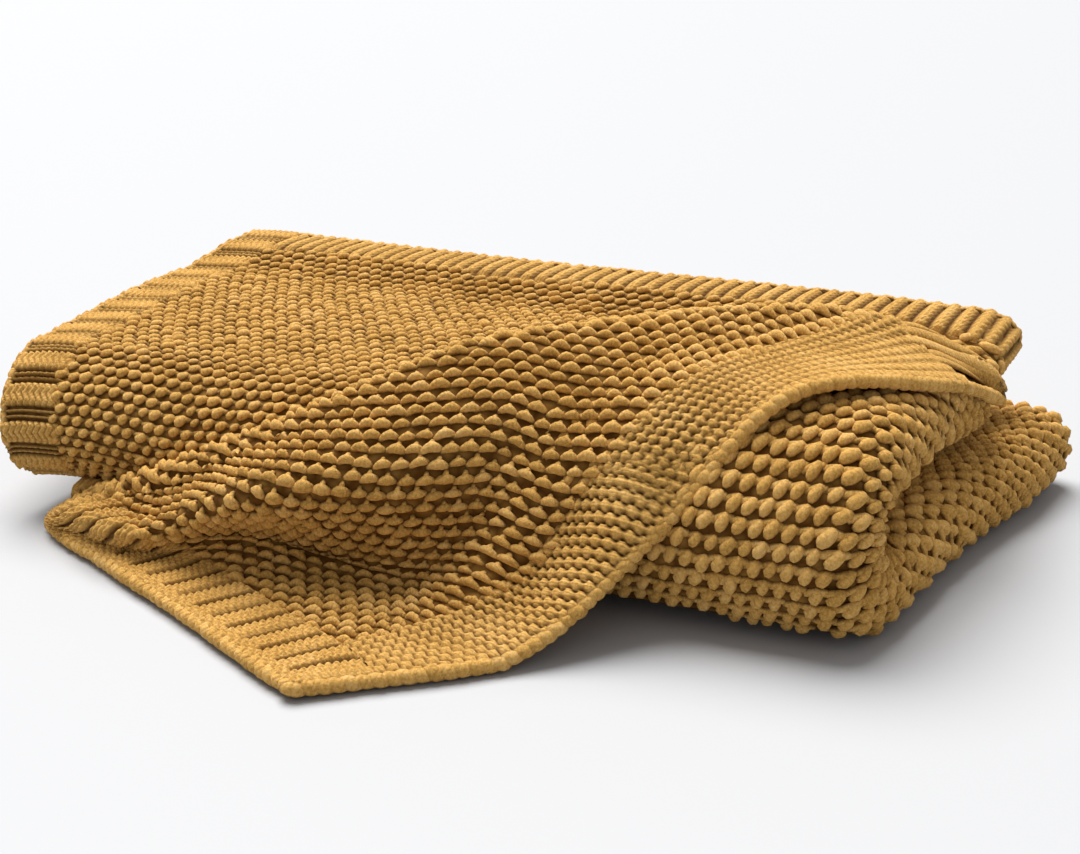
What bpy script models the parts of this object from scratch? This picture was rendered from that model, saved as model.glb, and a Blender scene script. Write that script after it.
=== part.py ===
"""A knitted throw lying folded in a stack, with one corner turned down over the front.

The throw is one sheet with knitted borders. It is folded in half lengthwise, in half
crosswise, and once more round the front, which lays eight layers over each other. The back
left corner of the top layer is then turned forward and down, over the front and on to the
ground. The cloth is one open surface, through the middle of its thickness, that a Solidify
modifier thickens.

Units are metres. The origin is on the ground, below the middle of the throw's box. +X runs
along the stack to its rounded right end, +Y to the back, +Z up.
"""

import bmesh
import bpy
import numpy as np

THICKNESS = 0.0076  # of the knitted cloth
BED_Z = THICKNESS / 2  # height of the middle of the lowest layer
GROUND_Z = 0.0046  # least height of the middle of the turned corner
LEFT_X = -0.348  # left ends of the layers, before their unevenness
FRONT_Y = -0.140  # outermost layer at the front turn
BACK_Y = 0.205  # back ends of the layers at the left
TURN_RADIUS = 0.0575  # of the outermost layer's front turn, in plan
PITCH = (0.0100, 0.0150)  # from one layer to the next, at the left and the right end
HEIGHT = (0.101, 0.113)  # from the lowest layer to the highest, at the left and the right end
FRONT_SAG = 0.036  # that the foot of the front turn spreads forward
BACK_DRAW = 0.052  # that the back is further forward at the right end
OUTER_IN = 0.044  # that the outer half's left ends lie further in
DROOP = (-0.300, 0.008)  # where the inner half starts to droop at its left end, and how far
RAISED = (-0.270, -0.120, 0.014)  # place where the corner holds the stack up, and how far
PINCH = (0.275, 0.070, 0.025)  # place of the pinch at the right end, and its depth
PINCH_ABOVE = 0.045  # height above which the pinch presses the stack down
CENTRE = (-0.0121, -0.0518)  # middle of the box, taken off at the end

TOP_RUN = BACK_Y - FRONT_Y - TURN_RADIUS
WRAP = 2 * TOP_RUN + np.pi * TURN_RADIUS  # length of the outermost layer round the front

# Places across the cloth: u runs along the stack, v round it and back through the inner half.
U_RUN, U_RIM = 0.477, 0.523  # the crosswise fold lies between these
U_TURNED = 0.500  # the fold line of the turned corner ends here
V_OUTER, V_INNER = 0.507, 0.520  # the lengthwise fold lies between these
BORDER_C = 0.12  # the top layer's back border is drawn forward to this place on the wrap

# Ends of the layers, at places on the wrap (0 top back, 0.5 front, 1 bottom back).
ENDS_COLUMNS = ("place", "right_x", "left_in")
ENDS = (
    (0.00, 0.262, 0.014),
    (0.20, 0.250, -0.002),
    (0.39, 0.234, 0.016),
    (0.50, 0.228, 0.030),
    (0.61, 0.240, 0.040),
    (0.80, 0.272, 0.035),
    (1.00, 0.300, 0.030),
)

# The line that the corner is folded over: share of the way to the front, place on the wrap.
FOLD_COLUMNS = ("share", "place")
FOLD = (
    (0.00, 0.120),
    (0.10, 0.172),
    (0.25, 0.250),
    (0.36, 0.340),
    (0.48, 0.410),
    (0.60, 0.458),
    (0.75, 0.500),
    (0.88, 0.540),
    (1.00, 0.590),
)

# The turned corner at stations along its fold line, which runs from -1 at the front left to 1
# at the right end: the height of the fold's lip, then the flap's shoulder, drop, foot and edge.
FLAP_COLUMNS = ("station", "lip", "shoulder", "drop", "foot", "edge")
FLAP = (
    (-0.85, 0.013, (-0.237, -0.169, 0.017), (-0.248, -0.175, 0.019), (-0.259, -0.176, 0.012), (-0.272, -0.169, 0.005)),
    (-0.60, 0.017, (-0.171, -0.196, 0.032), (-0.185, -0.207, 0.025), (-0.197, -0.196, 0.012), (-0.197, -0.215, 0.005)),
    (-0.35, 0.019, (-0.104, -0.206, 0.062), (-0.114, -0.179, 0.027), (-0.117, -0.210, 0.005), (-0.118, -0.257, 0.005)),
    (-0.15, 0.021, (-0.044, -0.190, 0.072), (-0.051, -0.173, 0.015), (-0.052, -0.232, 0.005), (-0.056, -0.292, 0.005)),
    (0.00, 0.022, (0.000, -0.171, 0.083), (-0.002, -0.174, 0.016), (-0.003, -0.239, 0.005), (-0.015, -0.314, 0.005)),
    (0.20, 0.022, (0.053, -0.124, 0.114), (0.061, -0.161, 0.071), (0.067, -0.188, 0.023), (0.077, -0.243, 0.005)),
    (0.40, 0.022, (0.105, -0.063, 0.128), (0.114, -0.109, 0.119), (0.123, -0.145, 0.094), (0.135, -0.169, 0.057)),
    (0.60, 0.021, (0.164, -0.007, 0.130), (0.172, -0.041, 0.127), (0.181, -0.073, 0.127), (0.194, -0.106, 0.129)),
    (0.80, 0.018, (0.232, 0.035, 0.123), (0.241, 0.016, 0.121), (0.251, -0.002, 0.120), (0.266, -0.023, 0.119)),
)
STATIONS = 13  # steps along the right half of the fold line; the left half also steps round the rim
LIP_END = 0.011  # height of the lip at both ends of the fold line
LIP = 0.14  # share of the turned cloth that is in the lip
FLAP_KNOTS = np.array([0.0, 0.25, 0.5, 0.75, 1.0])  # crest, shoulder, drop, foot, edge
CORNER = 6  # rows of the flap, with the left end's, up to the cloth's corner


def smooth(x):
    """3x^2 - 2x^3, with x kept from 0 to 1."""
    x = np.clip(x, 0, 1)
    return x * x * (3 - 2 * x)


def column(rows, names, name):
    """One column of a table, as an array."""
    return np.array([row[names.index(name)] for row in rows], float)


def hermite(f, first, last, first_slope, last_slope):
    """The cubic from first (f = 0) to last (f = 1) with these slopes."""
    return (
        (2 * f**3 - 3 * f**2 + 1) * first
        + (f**3 - 2 * f**2 + f) * first_slope
        + (3 * f**2 - 2 * f**3) * last
        + (f**3 - f**2) * last_slope
    )


def curve(x, knots, values):
    """Values at x, on the smooth curve through a table's values at its knots."""
    flat = values.reshape(len(knots), -1)
    slope = np.gradient(flat, knots, axis=0)
    x = np.clip(np.asarray(x, float), knots[0], knots[-1])
    i = np.clip(np.searchsorted(knots, x, side="right") - 1, 0, len(knots) - 2)
    step = (knots[i + 1] - knots[i])[..., None]
    f = (x - knots[i])[..., None] / step
    found = hermite(f, flat[i], flat[i + 1], slope[i] * step, slope[i + 1] * step)
    return found.reshape(x.shape + values.shape[1:])


def blend(ends, share):
    """The value this share of the way between two ends."""
    return ends[0] + (ends[1] - ends[0]) * share


def wrapped(place, inset, height):
    """(y, z) on a C round the front: straight runs and a half turn, moved in by inset."""
    along = place * WRAP
    turn = np.clip((along - TOP_RUN) / TURN_RADIUS, 0, np.pi)
    back = np.maximum(TOP_RUN - along, 0) + np.maximum(along - TOP_RUN - np.pi * TURN_RADIUS, 0)
    y = FRONT_Y + TURN_RADIUS - (TURN_RADIUS - inset) * np.sin(turn) + back
    z = BED_Z + height / 2 + (height / 2 - inset) * np.cos(turn)
    return y, z


def settled(x, y, z):
    """The stack's softness: its foot spreads forward and its back draws in to the right."""
    rise = np.clip(z / 0.12, 0, 1.2)
    y = y - FRONT_SAG * (1 - rise) * smooth((0.04 - y) / 0.14)
    y = y - BACK_DRAW * smooth((x + 0.36) / 0.42) * smooth((y + 0.02) / 0.22)
    z = z - DROOP[1] * (1 - rise / 1.2) * smooth((DROOP[0] - x) / 0.04)
    near = np.exp(-(((x - RAISED[0]) / 0.07) ** 2) - ((y - RAISED[1]) / 0.07) ** 2)
    z = z + RAISED[2] * near * (1 - rise / 1.2)
    near = np.exp(-(((x - PINCH[0]) / 0.05) ** 2) - ((y - PINCH[1]) / 0.05) ** 2)
    z = z - PINCH[2] * near * np.clip((z - PINCH_ABOVE) / 0.08, 0, 1)
    return np.stack([x, y, z], axis=-1)


def stacked(u, v):
    """Middle of the cloth at (u, v), with no corner turned.

    The crosswise fold turns a layer through pi about a ring, 1.5 pitches out for the outer
    half of the cloth and 0.5 for the inner, and the lengthwise fold leads one to the other.
    """
    u, v = np.broadcast_arrays(np.asarray(u, float), np.asarray(v, float))
    cross = np.pi * np.clip((u - U_RUN) / (U_RIM - U_RUN), 0, 1)
    length = np.pi * np.clip((v - V_OUTER) / (V_INNER - V_OUTER), 0, 1)
    drawn = BORDER_C * smooth(1 - (u - U_RIM) / 0.12)
    outer = drawn + (1 - drawn) * np.clip(v / V_OUTER, 0, 1)
    inner = np.clip((1 - v) / (1 - V_INNER), 0, 1)
    place = np.where(v < V_INNER, outer, inner)
    ring = 1 + 0.5 * np.cos(length)
    risen = np.where(v > V_INNER, smooth((0.13 - place) / 0.10), 0)
    knots = column(ENDS, ENDS_COLUMNS, "place")
    right = curve(place, knots, column(ENDS, ENDS_COLUMNS, "right_x"))
    left = LEFT_X + curve(place, knots, column(ENDS, ENDS_COLUMNS, "left_in"))
    left = left + OUTER_IN * (0.5 + 0.5 * np.cos(length))
    there = left + (right - left) * np.clip(u / U_RUN, 0, 1)
    back = right - (right - left - 0.012) * np.clip((u - U_RIM) / (1 - U_RIM), 0, 1)
    x = np.where(u < U_RIM, there, back)
    share = smooth((x + 0.33) / 0.42)
    pitch = blend(PITCH, share)
    inset = 1.5 - ring * np.cos(cross) - risen * (1 + np.cos(cross)) / 2
    y, z = wrapped(place, inset * pitch, blend(HEIGHT, share))
    x = x + (ring + risen) * pitch * np.sin(cross)
    y = y + 0.5 * pitch * np.sin(length)
    return settled(x, y, z)


def top_layer(a, b):
    """Top layer at a, from left to right, and b, from its back border to the front foot."""
    place = curve(b, column(FOLD, FOLD_COLUMNS, "share"), column(FOLD, FOLD_COLUMNS, "place"))
    v = V_OUTER * (place - BORDER_C) / (1 - BORDER_C)
    return stacked(a * U_TURNED, v)


def unit(vectors):
    """Vectors with a length of 1."""
    return vectors / np.linalg.norm(vectors, axis=-1, keepdims=True)


def fold_frame(station):
    """Places on the fold line, the direction out of the stack there and that across the line."""
    a, b = (1 + station) / 2, (1 - station) / 2
    e = 1e-3
    along_a = top_layer(np.minimum(a + e, 1), b) - top_layer(np.maximum(a - e, 0), b)
    along_b = top_layer(a, np.minimum(b + e, 1)) - top_layer(a, np.maximum(b - e, 0))
    out = unit(np.cross(along_b, along_a))
    across = np.cross(out, unit(along_a - along_b))
    return top_layer(a, b), out, across


def turned(station, t):
    """The corner's cloth: t = 1 to 0 not turned, 0 to -LIP the lip, on to -1 the flap."""
    station, t = np.broadcast_arrays(np.asarray(station, float), np.asarray(t, float))
    a, b = (1 + station) / 2, (1 - station) / 2
    s = np.clip(t, 0, 1)
    flat = top_layer(
        a + s * (np.minimum(1 + station, 1) - a), b + s * (np.minimum(1 - station, 1) - b)
    )
    base, out, across = fold_frame(station)
    knots = np.concatenate([[-1], column(FLAP, FLAP_COLUMNS, "station"), [1]])
    lips = np.concatenate([[LIP_END], column(FLAP, FLAP_COLUMNS, "lip"), [LIP_END]])
    lift = curve(station, knots, lips)[..., None]
    crest = base + out * lift
    round_lip = np.pi * np.clip(-t / LIP, 0, 1)[..., None]
    lip = base + out * lift * (1 - np.cos(round_lip)) / 2 + across * lift * 0.62 * np.sin(round_lip)
    end_base, end_out, _ = fold_frame(np.array([-1.0, 1.0]))
    ends = end_base + end_out * LIP_END
    points = [crest]
    for name in FLAP_COLUMNS[2:]:
        line = np.concatenate([ends[:1], column(FLAP, FLAP_COLUMNS, name), ends[1:]])
        left = curve(station, knots[:CORNER], line[:CORNER])
        right = curve(station, knots[CORNER - 1 :], line[CORNER - 1 :])
        bent = np.where(station[..., None] < 0, left, right)
        points.append(bent if name == "edge" else curve(station, knots, line))
    points = np.stack(points, axis=0)
    slopes = np.gradient(points, FLAP_KNOTS, axis=0)
    slopes[0] = 0.6 * slopes[0] - 2 * across * lift * (1 - station**4)[..., None]
    f = np.clip((-t - LIP) / (1 - LIP), 0, 1)
    flap = np.zeros(t.shape + (3,))
    for i in range(len(FLAP_KNOTS) - 1):
        step = FLAP_KNOTS[i + 1] - FLAP_KNOTS[i]
        here = (f >= FLAP_KNOTS[i])[..., None]
        share = np.clip((f - FLAP_KNOTS[i]) / step, 0, 1)[..., None]
        piece = hermite(share, points[i], points[i + 1], slopes[i] * step, slopes[i + 1] * step)
        flap = np.where(here, piece, flap)
    flap[..., 2] = np.maximum(flap[..., 2], GROUND_Z)
    return np.where(t[..., None] >= 0, flat, np.where(-t[..., None] < LIP, lip, flap))


def grid(surface, first, second):
    """Points and quads of a surface over two lists of samples."""
    points = surface(first[:, None], second[None, :])
    number = np.arange(points[..., 0].size).reshape(points.shape[:2])
    quads = np.stack([number[:-1, :-1], number[1:, :-1], number[1:, 1:], number[:-1, 1:]], -1)
    return points.reshape(-1, 3), quads.reshape(-1, 4)


def span(first, last, count):
    """Samples of one stretch, without its last."""
    return np.linspace(first, last, count, endpoint=False)


def sheet():
    """Points and quads of the whole sheet's middle, as three patches that share their edges."""
    rim = U_RUN / U_TURNED - 1
    left = np.concatenate([span(-1, rim, STATIONS - 1), span(rim, 0, 4)])
    right = np.linspace(0, 1, STATIONS + 1)
    stations = np.concatenate([left, right])
    level = 1 - (1 - np.linspace(0, 1, 8)) ** 1.5
    flap = np.concatenate([span(-1, -LIP, 11), span(-LIP, 0, 6), level])
    a = 1 + np.append(left, 0)
    b = 1 - right[::-1]
    place = curve(b, column(FOLD, FOLD_COLUMNS, "share"), column(FOLD, FOLD_COLUMNS, "place"))
    behind = V_OUTER * (place - BORDER_C) / (1 - BORDER_C)
    under = [
        span(behind[-1], V_OUTER, 6),
        span(V_OUTER, V_INNER, 6),
        span(V_INNER, 1 - 0.61 * (1 - V_INNER), 6),
        span(1 - 0.61 * (1 - V_INNER), 1 - 0.39 * (1 - V_INNER), 11),
        np.linspace(1 - 0.39 * (1 - V_INNER), 1, 9),
    ]
    beyond = [span(U_TURNED, U_RIM, 5), np.linspace(U_RIM, 1, 11)]
    rest = np.concatenate(under)
    patches = (
        grid(turned, stations, flap),
        grid(stacked, a * U_TURNED, rest),
        grid(stacked, np.concatenate(beyond), np.concatenate([behind[:-1], rest])),
    )
    starts = np.cumsum([0] + [len(points) for points, _ in patches[:-1]])
    points = np.concatenate([points for points, _ in patches])
    quads = np.concatenate([quads + start for (_, quads), start in zip(patches, starts)])
    return points - np.array([CENTRE[0], CENTRE[1], 0]), quads


def wool():
    """The cloth's material."""
    material = bpy.data.materials.new("wool")
    material.use_nodes = True
    shader = material.node_tree.nodes["Principled BSDF"]
    shader.inputs["Base Color"].default_value = (0.52, 0.29, 0.085, 1)
    shader.inputs["Roughness"].default_value = 0.9
    return material


def main():
    for thing in list(bpy.data.objects):
        bpy.data.objects.remove(thing)
    points, quads = sheet()
    mesh = bpy.data.meshes.new("blanket")
    mesh.from_pydata(points.tolist(), [], quads.tolist())
    build = bmesh.new()
    build.from_mesh(mesh)
    bmesh.ops.remove_doubles(build, verts=build.verts, dist=1e-5)
    bmesh.ops.recalc_face_normals(build, faces=build.faces)
    build.to_mesh(mesh)
    build.free()
    mesh.materials.append(wool())
    blanket = bpy.data.objects.new("blanket", mesh)
    thicken = blanket.modifiers.new("thickness", "SOLIDIFY")
    thicken.thickness = THICKNESS
    thicken.offset = 0
    thicken.use_even_offset = False
    collection = bpy.data.collections.new("blanket")
    bpy.context.scene.collection.children.link(collection)
    collection.objects.link(blanket)


if __name__ == "__main__":
    main()
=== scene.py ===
"""A folded knitted throw: the cloth, its stitches, its rib borders and its corded edge.

Run as a script in Blender. Every piece is a surface worked out from places in the cloth: the
cloth's own middle surface gives a point for each place, and stitches and ribs are shapes in
the cloth's flat coordinates that are carried on to it.
"""

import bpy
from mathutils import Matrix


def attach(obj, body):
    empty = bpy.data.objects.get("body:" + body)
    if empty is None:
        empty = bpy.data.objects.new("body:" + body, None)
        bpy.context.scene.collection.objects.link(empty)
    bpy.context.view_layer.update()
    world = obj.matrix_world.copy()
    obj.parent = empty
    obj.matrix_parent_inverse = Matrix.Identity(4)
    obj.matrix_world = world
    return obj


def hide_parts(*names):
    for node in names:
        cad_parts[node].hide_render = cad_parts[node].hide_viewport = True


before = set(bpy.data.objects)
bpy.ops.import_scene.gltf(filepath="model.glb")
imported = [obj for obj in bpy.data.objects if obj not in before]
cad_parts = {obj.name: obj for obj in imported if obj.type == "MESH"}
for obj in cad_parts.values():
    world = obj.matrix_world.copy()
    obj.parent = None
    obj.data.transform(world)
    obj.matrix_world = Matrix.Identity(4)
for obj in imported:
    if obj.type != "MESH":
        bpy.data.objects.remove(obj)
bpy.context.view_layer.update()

import math
from collections import namedtuple

import bmesh
import bpy
import numpy as np
from bpy.props import FloatProperty, FloatVectorProperty, PointerProperty
from mathutils import Euler, Vector
from mathutils.bvhtree import BVHTree

bl_info = {
    "name": "Folded knitted throw",
    "version": (1, 0, 0),
    "blender": (4, 5, 0),
    "location": "3D View > Sidebar > Throw",
    "description": "Builds a folded knitted throw with stitches, rib borders and a corded edge",
    "category": "Add Mesh",
}


def columns(names, *rows):
    """A table's columns by name, as arrays, from its rows."""
    return {name: np.array([row[i] for row in rows], float) for i, name in enumerate(names)}


# The folds, in metres. Apart from those of the tip, these sizes are the solid's own, so that the
# cloth lies where the solid does.
THICKNESS = 0.0076  # of the knitted cloth
BED_Z = THICKNESS / 2  # height of the middle of the lowest layer
GROUND_Z = 0.0046  # least height of the middle of the turned corner
LEFT_X = -0.348  # left ends of the layers, before their unevenness
FRONT_Y = -0.140  # outermost layer at the front turn
BACK_Y = 0.205  # back ends of the layers at the left
TURN_RADIUS = 0.0575  # of the outermost layer's front turn, in plan
PITCH = (0.0100, 0.0150)  # from one layer to the next, at the left and the right end
HEIGHT = (0.101, 0.113)  # from the lowest layer to the highest, at the left and the right end
THICKER = (-0.33, 0.42)  # place where pitch and height start to grow, and the reach of that
OUTER_IN = 0.044  # that the outer half's left ends lie further in
END_IN = 0.012  # that the layers that come back from the right end further in
BORDER_C = 0.12  # the top layer's back border is drawn forward to this place on the wrap
BORDER_REACH = 0.12  # beyond the crosswise fold, in which that ends
LEVELLED = (0.13, 0.10)  # place on the wrap from which the inner half rises to the outer, and reach

# The stack's softness. A height counts as a share of SOFT_HEIGHT, up to MOST_RISE.
SOFT_HEIGHT, MOST_RISE = 0.12, 1.2
FRONT_SAG = 0.036  # that the foot of the front turn spreads forward
SAG_FROM = (0.04, 0.14)  # place where that starts, and its reach
BACK_DRAW = 0.052  # that the back is further forward at the right end
DRAW_FROM = ((-0.36, 0.42), (-0.02, 0.22))  # the same to the right, and to the back
DROOP = (-0.300, 0.04, 0.008)  # where the left end starts to droop, the reach of that, how far
RAISED = (-0.270, -0.120, 0.07, 0.014)  # place where the corner holds the stack up, reach, how far
PINCH = (0.275, 0.070, 0.05, 0.025)  # place of the pinch at the right end, its reach and depth
PINCH_ABOVE = (0.045, 0.08)  # height above which the pinch presses the stack down, and its reach
CENTRE = (-0.0121, -0.0518)  # middle of the box, taken off at the end

TOP_RUN = BACK_Y - FRONT_Y - TURN_RADIUS
WRAP = 2 * TOP_RUN + np.pi * TURN_RADIUS  # length of the outermost layer round the front

# Places across the cloth: u runs along the stack, v round it and back through the inner half.
U_RUN, U_RIM = 0.477, 0.523  # the crosswise fold lies between these
U_TURNED = 0.500  # the fold line of the turned corner ends here
V_OUTER, V_INNER = 0.507, 0.520  # the lengthwise fold lies between these

# Ends of the layers, at places on the wrap (0 top back, 0.5 front, 1 bottom back).
ENDS = columns(
    ("place", "right_x", "left_in"),
    (0.00, 0.262, 0.014),
    (0.20, 0.250, -0.002),
    (0.39, 0.234, 0.016),
    (0.50, 0.228, 0.030),
    (0.61, 0.240, 0.040),
    (0.80, 0.272, 0.035),
    (1.00, 0.300, 0.030),
)

# The line that the corner is folded over: share of the way to the front, place on the wrap.
FOLD = columns(
    ("share", "place"),
    (0.00, 0.120),
    (0.10, 0.172),
    (0.25, 0.250),
    (0.36, 0.340),
    (0.48, 0.410),
    (0.60, 0.458),
    (0.75, 0.500),
    (0.88, 0.540),
    (1.00, 0.590),
)

# The turned corner at stations along its fold line, which runs from -1 at the front left to 1
# at the right end: the height of the fold's lip, then the flap's shoulder, drop, foot and edge.
FLAP = columns(
    ("station", "lip", "shoulder", "drop", "foot", "edge"),
    (-0.85, 0.013,
     (-0.237, -0.169, 0.017), (-0.248, -0.175, 0.019), (-0.259, -0.176, 0.012), (-0.272, -0.169, 0.005)),
    (-0.60, 0.017,
     (-0.171, -0.196, 0.032), (-0.185, -0.207, 0.025), (-0.197, -0.196, 0.012), (-0.197, -0.215, 0.005)),
    (-0.35, 0.019,
     (-0.104, -0.206, 0.062), (-0.114, -0.179, 0.027), (-0.117, -0.210, 0.005), (-0.118, -0.257, 0.005)),
    (-0.15, 0.021,
     (-0.044, -0.190, 0.072), (-0.051, -0.173, 0.015), (-0.052, -0.232, 0.005), (-0.056, -0.292, 0.005)),
    (0.00, 0.022,
     (0.000, -0.171, 0.083), (-0.002, -0.174, 0.016), (-0.003, -0.239, 0.005), (-0.015, -0.314, 0.005)),
    (0.20, 0.022,
     (0.053, -0.124, 0.114), (0.061, -0.161, 0.071), (0.067, -0.188, 0.023), (0.077, -0.243, 0.005)),
    (0.40, 0.022,
     (0.105, -0.063, 0.128), (0.114, -0.109, 0.119), (0.123, -0.145, 0.094), (0.135, -0.169, 0.057)),
    (0.60, 0.021,
     (0.164, -0.007, 0.130), (0.172, -0.041, 0.127), (0.181, -0.073, 0.127), (0.194, -0.106, 0.129)),
    (0.80, 0.018,
     (0.232, 0.035, 0.123), (0.241, 0.016, 0.121), (0.251, -0.002, 0.120), (0.266, -0.023, 0.119)),
)
LIP_END = 0.011  # height of the lip at both ends of the fold line
LIP = 0.14  # share of the turned cloth that is in the lip
FLAP_KNOTS = np.array([0.0, 0.25, 0.5, 0.75, 1.0])  # crest, shoulder, drop, foot, edge
LIP_SIDE = 0.62  # reach of the lip across the fold line, as a share of its height
LEAVING = (0.6, 2.0)  # how steeply the flap leaves the lip: along its own curve, and across
CORNER = 6  # rows of the flap, with the left end's, up to the cloth's corner
TIP_RISE = 0.008  # that the cloth stands up in the hollow behind the fold's left end
TIP_ALONG = (-1, 0.06, -0.62, 0.14)  # stations between which it does so, each with its reach
TIP_DOWN = (0.05, 0.08, 0.64, 0.40)  # the same for shares of the turned cloth


def smooth(x):
    """3x^2 - 2x^3, with x kept from 0 to 1."""
    x = np.clip(x, 0, 1)
    return x * x * (3 - 2 * x)


def from_place(x, place, reach):
    """0 up to a place and 1 from a reach beyond it, smooth between them."""
    return smooth((x - place) / reach)


def between(x, first, rise, last, fall):
    """1 between first and last and 0 outside them, with a smooth rise and fall inside the ends."""
    return from_place(x, first, rise) * smooth((last - x) / fall)


def hermite(f, first, last, first_slope, last_slope):
    """The cubic from first (f = 0) to last (f = 1) with these slopes."""
    return (
        (2 * f**3 - 3 * f**2 + 1) * first
        + (f**3 - 2 * f**2 + f) * first_slope
        + (3 * f**2 - 2 * f**3) * last
        + (f**3 - f**2) * last_slope
    )


def span(first, last, count):
    """Even samples of a stretch, without its last."""
    return np.linspace(first, last, count, endpoint=False)


def curve(x, knots, values):
    """Values at x, on the smooth curve through a table's values at its knots."""
    flat = values.reshape(len(knots), -1)
    slope = np.gradient(flat, knots, axis=0)
    x = np.clip(np.asarray(x, float), knots[0], knots[-1])
    i = np.clip(np.searchsorted(knots, x, side="right") - 1, 0, len(knots) - 2)
    step = (knots[i + 1] - knots[i])[..., None]
    f = (x - knots[i])[..., None] / step
    found = hermite(f, flat[i], flat[i + 1], slope[i] * step, slope[i + 1] * step)
    return found.reshape(x.shape + values.shape[1:])


def blend(ends, share):
    """The value this share of the way between two ends."""
    return ends[0] + (ends[1] - ends[0]) * share


def wrapped(place, inset, height):
    """(y, z) on a C round the front: straight runs and a half turn, moved in by inset."""
    along = place * WRAP
    turn = np.clip((along - TOP_RUN) / TURN_RADIUS, 0, np.pi)
    back = np.maximum(TOP_RUN - along, 0) + np.maximum(along - TOP_RUN - np.pi * TURN_RADIUS, 0)
    y = FRONT_Y + TURN_RADIUS - (TURN_RADIUS - inset) * np.sin(turn) + back
    z = BED_Z + height / 2 + (height / 2 - inset) * np.cos(turn)
    return y, z


def mound(x, y, middle_x, middle_y, reach, height):
    """A round mound of this height, as a bell of this reach."""
    return height * np.exp(-(((x - middle_x) / reach) ** 2) - ((y - middle_y) / reach) ** 2)


def settled(x, y, z):
    """The stack's softness: its foot spreads forward and its back draws in to the right.

    Its left end droops, the corner holds it up at the left, and it is pressed down at the pinch.
    """
    rise = np.clip(z / SOFT_HEIGHT, 0, MOST_RISE)
    y = y - FRONT_SAG * (1 - rise) * smooth((SAG_FROM[0] - y) / SAG_FROM[1])
    y = y - BACK_DRAW * from_place(x, *DRAW_FROM[0]) * from_place(y, *DRAW_FROM[1])
    low = 1 - rise / MOST_RISE
    z = z - DROOP[2] * low * smooth((DROOP[0] - x) / DROOP[1]) + mound(x, y, *RAISED) * low
    z = z - mound(x, y, *PINCH) * np.clip((z - PINCH_ABOVE[0]) / PINCH_ABOVE[1], 0, 1)
    return np.stack([x, y, z], axis=-1)


def stacked(u, v):
    """Middle of the cloth at (u, v), with no corner turned.

    The crosswise fold turns a layer through pi about a ring, 1.5 pitches out for the outer
    half of the cloth and 0.5 for the inner, and the lengthwise fold leads one to the other.
    """
    u, v = np.broadcast_arrays(np.asarray(u, float), np.asarray(v, float))
    cross = np.pi * np.clip((u - U_RUN) / (U_RIM - U_RUN), 0, 1)
    length = np.pi * np.clip((v - V_OUTER) / (V_INNER - V_OUTER), 0, 1)
    drawn = BORDER_C * smooth(1 - (u - U_RIM) / BORDER_REACH)
    outer = drawn + (1 - drawn) * np.clip(v / V_OUTER, 0, 1)
    inner = np.clip((1 - v) / (1 - V_INNER), 0, 1)
    place = np.where(v < V_INNER, outer, inner)
    ring = 1 + 0.5 * np.cos(length)
    risen = np.where(v > V_INNER, smooth((LEVELLED[0] - place) / LEVELLED[1]), 0)
    right = curve(place, ENDS["place"], ENDS["right_x"])
    left = LEFT_X + curve(place, ENDS["place"], ENDS["left_in"])
    left = left + OUTER_IN * (0.5 + 0.5 * np.cos(length))
    there = left + (right - left) * np.clip(u / U_RUN, 0, 1)
    back = right - (right - left - END_IN) * np.clip((u - U_RIM) / (1 - U_RIM), 0, 1)
    x = np.where(u < U_RIM, there, back)
    share = from_place(x, *THICKER)
    pitch = blend(PITCH, share)
    inset = 1.5 - ring * np.cos(cross) - risen * (1 + np.cos(cross)) / 2
    y, z = wrapped(place, inset * pitch, blend(HEIGHT, share))
    x = x + (ring + risen) * pitch * np.sin(cross)
    y = y + 0.5 * pitch * np.sin(length)
    return settled(x, y, z)


def outer_v(place):
    """The outer half's v at a place on the wrap: 0 at its back border, drawn in to BORDER_C."""
    return V_OUTER * (place - BORDER_C) / (1 - BORDER_C)


def top_layer(a, b):
    """Top layer at a, from left to right, and b, from its back border to the front foot."""
    return stacked(a * U_TURNED, outer_v(curve(b, FOLD["share"], FOLD["place"])))


def unit(vectors):
    """Vectors with a length of 1."""
    return vectors / np.linalg.norm(vectors, axis=-1, keepdims=True)


def fold_frame(station):
    """Places on the fold line, the direction out of the stack there and that across the line."""
    a, b = (1 + station) / 2, (1 - station) / 2
    e = 1e-3  # half the share over which the slopes are taken
    along_a = top_layer(np.minimum(a + e, 1), b) - top_layer(np.maximum(a - e, 0), b)
    along_b = top_layer(a, np.minimum(b + e, 1)) - top_layer(a, np.maximum(b - e, 0))
    out = unit(np.cross(along_b, along_a))
    across = np.cross(out, unit(along_a - along_b))
    return top_layer(a, b), out, across


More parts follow.
